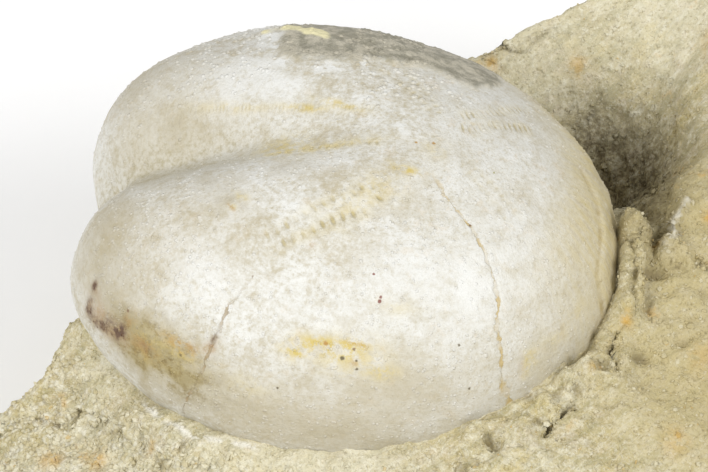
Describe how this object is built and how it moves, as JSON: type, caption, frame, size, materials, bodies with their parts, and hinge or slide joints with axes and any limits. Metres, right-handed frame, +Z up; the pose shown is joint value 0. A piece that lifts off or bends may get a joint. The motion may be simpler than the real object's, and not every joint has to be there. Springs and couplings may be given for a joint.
{
  "type": "fossil sea urchin",
  "caption": "Fossil heart urchin test with a deep front groove, half embedded in a loose piece of cream limestone that lies on a flat underside.",
  "frame": {"origin": "on the surface that the rock lies on, under the middle of the specimen's bounding box", "axes": "+Z up from the rock's flat underside; +X along the specimen's longest side, from the urchin's front groove towards its rear; +Y away from the urchin's better-preserved near flank"},
  "size_m": [0.079, 0.0608, 0.039],
  "materials": {
    "fossil_calcite": "smooth chalky off-white calcite with a faint satin sheen, beige and ochre mottling, fine white tubercles and rows of tiny pores",
    "cream_limestone": "rough granular cream to yellow-ochre limestone, matt, with small orange-brown iron stains"
  },
  "bodies": {
    "root": {"urchin_test": "fossil_calcite", "limestone_matrix": "cream_limestone"}
  },
  "joints": []
}
